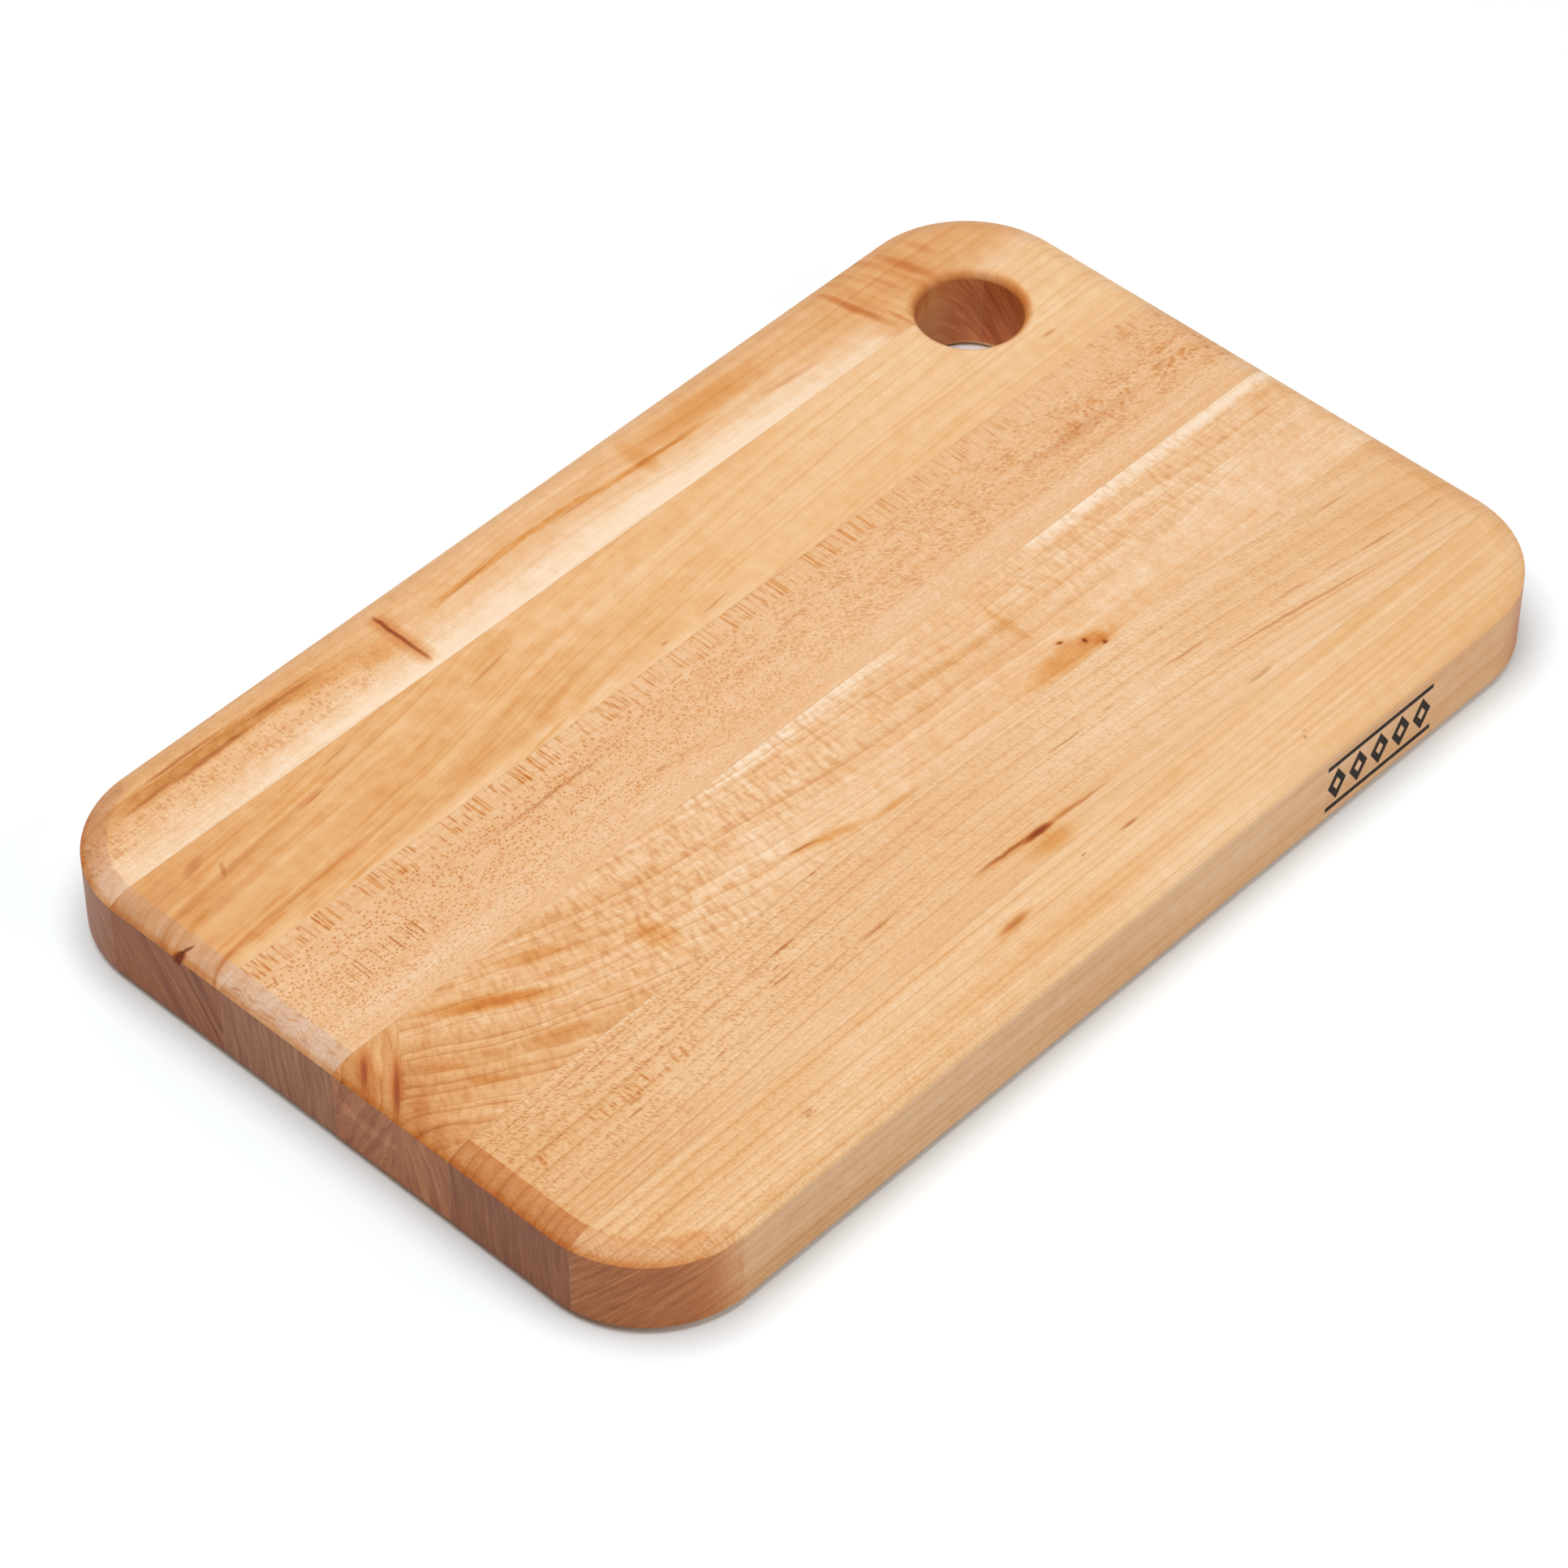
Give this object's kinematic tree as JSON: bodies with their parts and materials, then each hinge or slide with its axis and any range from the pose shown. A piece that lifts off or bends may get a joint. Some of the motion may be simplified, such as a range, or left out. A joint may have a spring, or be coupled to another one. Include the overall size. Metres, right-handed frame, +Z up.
{
  "type": "cutting board",
  "caption": "Rectangular edge-grain hardwood cutting board with round corners, rounded edges on both faces and a hanging hole near one corner.",
  "frame": {"origin": "middle of the underside, on the plane the board rests on", "axes": "+X along the grain towards the end with the hanging hole, +Y across the staves towards the side with the hole, +Z up through the thickness"},
  "size_m": [0.4064, 0.254, 0.0318],
  "materials": {
    "stave_1_wood": "oiled, satin",
    "stave_2_wood": "oiled, satin",
    "stave_3_wood": "oiled, satin",
    "stave_4_wood": "oiled, satin",
    "stave_5_wood": "oiled, satin",
    "stave_6_wood": "oiled, satin",
    "glue": "cured wood glue, satin"
  },
  "bodies": {
    "root": {"stave_1": "stave_1_wood", "stave_2": "stave_2_wood", "stave_3": "stave_3_wood", "stave_4": "stave_4_wood", "stave_5": "stave_5_wood", "stave_6": "stave_6_wood", "glue_line_1": "glue", "glue_line_2": "glue", "glue_line_3": "glue", "glue_line_4": "glue", "glue_line_5": "glue"}
  },
  "joints": []
}
